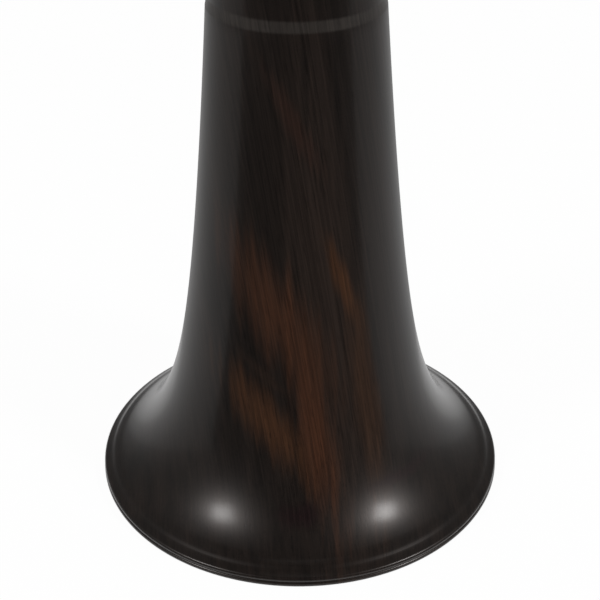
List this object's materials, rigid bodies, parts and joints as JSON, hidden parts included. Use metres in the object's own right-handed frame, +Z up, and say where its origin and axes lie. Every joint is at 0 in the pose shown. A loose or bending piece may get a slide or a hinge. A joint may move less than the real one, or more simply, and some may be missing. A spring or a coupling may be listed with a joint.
{
  "type": "bass clarinet",
  "caption": "Upright bass clarinet: turned flared wooden bell, keyed two-joint body and curved metal neck with mouthpiece.",
  "frame": {"origin": "centre of the bounding box on the plane the bell stands on; the bore axis is vertical and lies towards -Y of it", "axes": "+Z up along the bore, -Y the side of the finger keys, +Y the way the mouthpiece points"},
  "size_m": [0.116, 0.2328, 0.966],
  "materials": {
    "grenadilla": "oiled satin",
    "silver_plate": "polished",
    "steel": "satin",
    "cork": "matte",
    "ebonite": "gloss",
    "cane": "satin"
  },
  "bodies": {
    "root": {"bell": "grenadilla", "bell_socket_ring": "silver_plate", "lower_joint": "grenadilla", "lower_joint_tenon_cork": "cork", "lower_joint_socket_ring": "silver_plate", "upper_joint": "grenadilla", "upper_joint_tenon_cork": "cork", "upper_joint_socket_ring": "silver_plate", "rh_stack_pivot": "steel", "lh_stack_pivot": "steel", "bridge_key_pivot": "steel", "a_flat_e_flat_key_pivot": "steel", "f_sharp_c_sharp_key_pivot": "steel", "f_c_key_pivot": "steel", "e_b_key_pivot": "steel", "low_e_flat_key_pivot": "steel", "lh_f_sharp_c_sharp_lever_pivot": "steel", "lh_f_c_lever_pivot": "steel", "lh_e_b_lever_pivot": "steel", "thumb_key_pivot": "steel", "throat_g_sharp_key_pivot": "steel", "throat_a_key_pivot": "steel", "register_key_pivot": "steel", "c_sharp_g_sharp_key_pivot": "steel", "side_key_cradle": "steel", "thumb_rest": "silver_plate", "strap_ring": "silver_plate", "neck_tube": "silver_plate", "neck_tenon_cork": "cork", "mouthpiece_cork": "cork", "mouthpiece": "ebonite", "reed": "cane", "ligature": "silver_plate", "ligature_screw_1": "silver_plate", "ligature_screw_2": "silver_plate"},
    "rh_ring_key": {"rh_ring_key": "silver_plate"},
    "rh_middle_key": {"rh_middle_key": "silver_plate"},
    "rh_index_key": {"rh_index_key": "silver_plate"},
    "lh_ring_key": {"lh_ring_key": "silver_plate"},
    "lh_middle_key": {"lh_middle_key": "silver_plate"},
    "lh_index_key": {"lh_index_key": "silver_plate"},
    "bridge_key": {"bridge_key": "silver_plate"},
    "a_flat_e_flat_key": {"a_flat_e_flat_key": "silver_plate"},
    "f_sharp_c_sharp_key": {"f_sharp_c_sharp_key": "silver_plate"},
    "f_c_key": {"f_c_key": "silver_plate"},
    "e_b_key": {"e_b_key": "silver_plate"},
    "low_e_flat_key": {"low_e_flat_key": "silver_plate"},
    "lh_f_sharp_c_sharp_lever": {"lh_f_sharp_c_sharp_lever": "silver_plate"},
    "lh_f_c_lever": {"lh_f_c_lever": "silver_plate"},
    "lh_e_b_lever": {"lh_e_b_lever": "silver_plate"},
    "thumb_key": {"thumb_key": "silver_plate"},
    "throat_g_sharp_key": {"throat_g_sharp_key": "silver_plate"},
    "throat_a_key": {"throat_a_key": "silver_plate"},
    "register_key": {"register_key": "silver_plate"},
    "c_sharp_g_sharp_key": {"c_sharp_g_sharp_key": "silver_plate"},
    "side_key_1": {"side_key_1": "silver_plate"},
    "side_key_2": {"side_key_2": "silver_plate"},
    "side_key_3": {"side_key_3": "silver_plate"},
    "side_key_4": {"side_key_4": "silver_plate"}
  },
  "joints": [
    {"name": "rh_ring_hinge", "type": "hinge", "parent": "root", "child": "rh_ring_key", "pos_m": [0.01853, -0.0783, 0], "axis": [0, 0, -1], "range_deg": [0, 9.28], "stiffness_Nm_per_rad": 0.05, "springref_deg": -17.19},
    {"name": "rh_middle_hinge", "type": "hinge", "parent": "root", "child": "rh_middle_key", "pos_m": [0.01853, -0.0783, 0], "axis": [0, 0, -1], "range_deg": [0, 9.28], "stiffness_Nm_per_rad": 0.05, "springref_deg": -17.19},
    {"name": "rh_index_hinge", "type": "hinge", "parent": "root", "child": "rh_index_key", "pos_m": [0.01853, -0.0783, 0], "axis": [0, 0, -1], "range_deg": [0, 9.28], "stiffness_Nm_per_rad": 0.05, "springref_deg": -17.19},
    {"name": "lh_ring_hinge", "type": "hinge", "parent": "root", "child": "lh_ring_key", "pos_m": [0.01853, -0.0783, 0], "axis": [0, 0, -1], "range_deg": [0, 9.28], "stiffness_Nm_per_rad": 0.05, "springref_deg": -17.19},
    {"name": "lh_middle_hinge", "type": "hinge", "parent": "root", "child": "lh_middle_key", "pos_m": [0.01853, -0.0783, 0], "axis": [0, 0, -1], "range_deg": [0, 9.28], "stiffness_Nm_per_rad": 0.05, "springref_deg": -17.19},
    {"name": "lh_index_hinge", "type": "hinge", "parent": "root", "child": "lh_index_key", "pos_m": [0.01853, -0.0783, 0], "axis": [0, 0, -1], "range_deg": [0, 9.28], "stiffness_Nm_per_rad": 0.05, "springref_deg": -17.19},
    {"name": "bridge_hinge", "type": "hinge", "parent": "root", "child": "bridge_key", "pos_m": [0.01853, -0.0783, 0], "axis": [0, 0, -1], "range_deg": [0, 9.28], "stiffness_Nm_per_rad": 0.05, "springref_deg": -17.19},
    {"name": "a_flat_e_flat_hinge", "type": "hinge", "parent": "root", "child": "a_flat_e_flat_key", "pos_m": [-0.01853, -0.0783, 0], "axis": [0, 0, 1], "range_deg": [0, 11.65], "stiffness_Nm_per_rad": 0.05, "springref_deg": -17.19},
    {"name": "f_sharp_c_sharp_hinge", "type": "hinge", "parent": "root", "child": "f_sharp_c_sharp_key", "pos_m": [-0.02548, -0.07525, 0], "axis": [0, 0, 1], "range_deg": [0, 6.65], "stiffness_Nm_per_rad": 0.05, "springref_deg": -17.19},
    {"name": "f_c_hinge", "type": "hinge", "parent": "root", "child": "f_c_key", "pos_m": [-0.03044, -0.06928, 0], "axis": [0, 0, 1], "range_deg": [0, 5.34], "stiffness_Nm_per_rad": 0.05, "springref_deg": -17.19},
    {"name": "e_b_hinge", "type": "hinge", "parent": "root", "child": "e_b_key", "pos_m": [-0.032, -0.06128, 0], "axis": [0, 0, 1], "range_deg": [0, 4.64], "stiffness_Nm_per_rad": 0.05, "springref_deg": -17.19},
    {"name": "low_e_flat_hinge", "type": "hinge", "parent": "root", "child": "low_e_flat_key", "pos_m": [-0.02996, -0.05281, 0], "axis": [0, 0, 1], "range_deg": [0, 5.86], "stiffness_Nm_per_rad": 0.05, "springref_deg": -17.19},
    {"name": "lh_f_sharp_c_sharp_lever_hinge", "type": "hinge", "parent": "root", "child": "lh_f_sharp_c_sharp_lever", "pos_m": [0.02548, -0.07525, 0], "axis": [0, 0, -1], "range_deg": [0, 6.65], "stiffness_Nm_per_rad": 0.05, "springref_deg": -17.19},
    {"name": "lh_f_c_lever_hinge", "type": "hinge", "parent": "root", "child": "lh_f_c_lever", "pos_m": [0.03044, -0.06928, 0], "axis": [0, 0, -1], "range_deg": [0, 5.34], "stiffness_Nm_per_rad": 0.05, "springref_deg": -17.19},
    {"name": "lh_e_b_lever_hinge", "type": "hinge", "parent": "root", "child": "lh_e_b_lever", "pos_m": [0.032, -0.06128, 0], "axis": [0, 0, -1], "range_deg": [0, 4.64], "stiffness_Nm_per_rad": 0.05, "springref_deg": -17.19},
    {"name": "thumb_hinge", "type": "hinge", "parent": "root", "child": "thumb_key", "pos_m": [0.01853, -0.04326, 0], "axis": [0, 0, 1], "range_deg": [0, 9.28], "stiffness_Nm_per_rad": 0.05, "springref_deg": -17.19},
    {"name": "throat_g_sharp_hinge", "type": "hinge", "parent": "root", "child": "throat_g_sharp_key", "pos_m": [0.01853, -0.0783, 0], "axis": [0, 0, -1], "range_deg": [0, 10.68], "stiffness_Nm_per_rad": 0.05, "springref_deg": -17.19},
    {"name": "throat_a_hinge", "type": "hinge", "parent": "root", "child": "throat_a_key", "pos_m": [0, -0.08438, 0.81517], "axis": [1, 0, 0], "range_deg": [0, 8.45], "stiffness_Nm_per_rad": 0.05, "springref_deg": -17.19},
    {"name": "register_hinge", "type": "hinge", "parent": "root", "child": "register_key", "pos_m": [0, -0.03718, 0.801], "axis": [-1, 0, 0], "range_deg": [0, 4.97], "stiffness_Nm_per_rad": 0.05, "springref_deg": -17.19},
    {"name": "c_sharp_g_sharp_hinge", "type": "hinge", "parent": "root", "child": "c_sharp_g_sharp_key", "pos_m": [0.02188, -0.05194, 0.64665], "axis": [-0.3746, 0.9272, 0], "range_deg": [0, 4.48], "stiffness_Nm_per_rad": 0.05, "springref_deg": -17.19},
    {"name": "side_1_hinge", "type": "hinge", "parent": "root", "child": "side_key_1", "pos_m": [-0.01639, -0.07775, 0.6939], "axis": [0.7193, -0.6947, 0], "range_deg": [0, 1.42], "stiffness_Nm_per_rad": 0.05, "springref_deg": -17.19},
    {"name": "side_2_hinge", "type": "hinge", "parent": "root", "child": "side_key_2", "pos_m": [-0.02188, -0.06962, 0.6939], "axis": [0.3746, -0.9272, 0], "range_deg": [0, 1.79], "stiffness_Nm_per_rad": 0.05, "springref_deg": -17.19},
    {"name": "side_3_hinge", "type": "hinge", "parent": "root", "child": "side_key_3", "pos_m": [-0.02359, -0.05995, 0.6939], "axis": [-0.0349, -0.9994, 0], "range_deg": [0, 1.42], "stiffness_Nm_per_rad": 0.05, "springref_deg": -17.19},
    {"name": "side_4_hinge", "type": "hinge", "parent": "root", "child": "side_key_4", "pos_m": [-0.02121, -0.05043, 0.6939], "axis": [-0.4384, -0.8988, 0], "range_deg": [0, 1.79], "stiffness_Nm_per_rad": 0.05, "springref_deg": -17.19}
  ],
  "couplings": [
    {"joint": "bridge_hinge", "follows": "rh_index_hinge", "ratio": 1},
    {"joint": "lh_f_sharp_c_sharp_lever_hinge", "follows": "f_sharp_c_sharp_hinge", "ratio": 1},
    {"joint": "lh_f_c_lever_hinge", "follows": "f_c_hinge", "ratio": 1},
    {"joint": "lh_e_b_lever_hinge", "follows": "e_b_hinge", "ratio": 1}
  ]
}
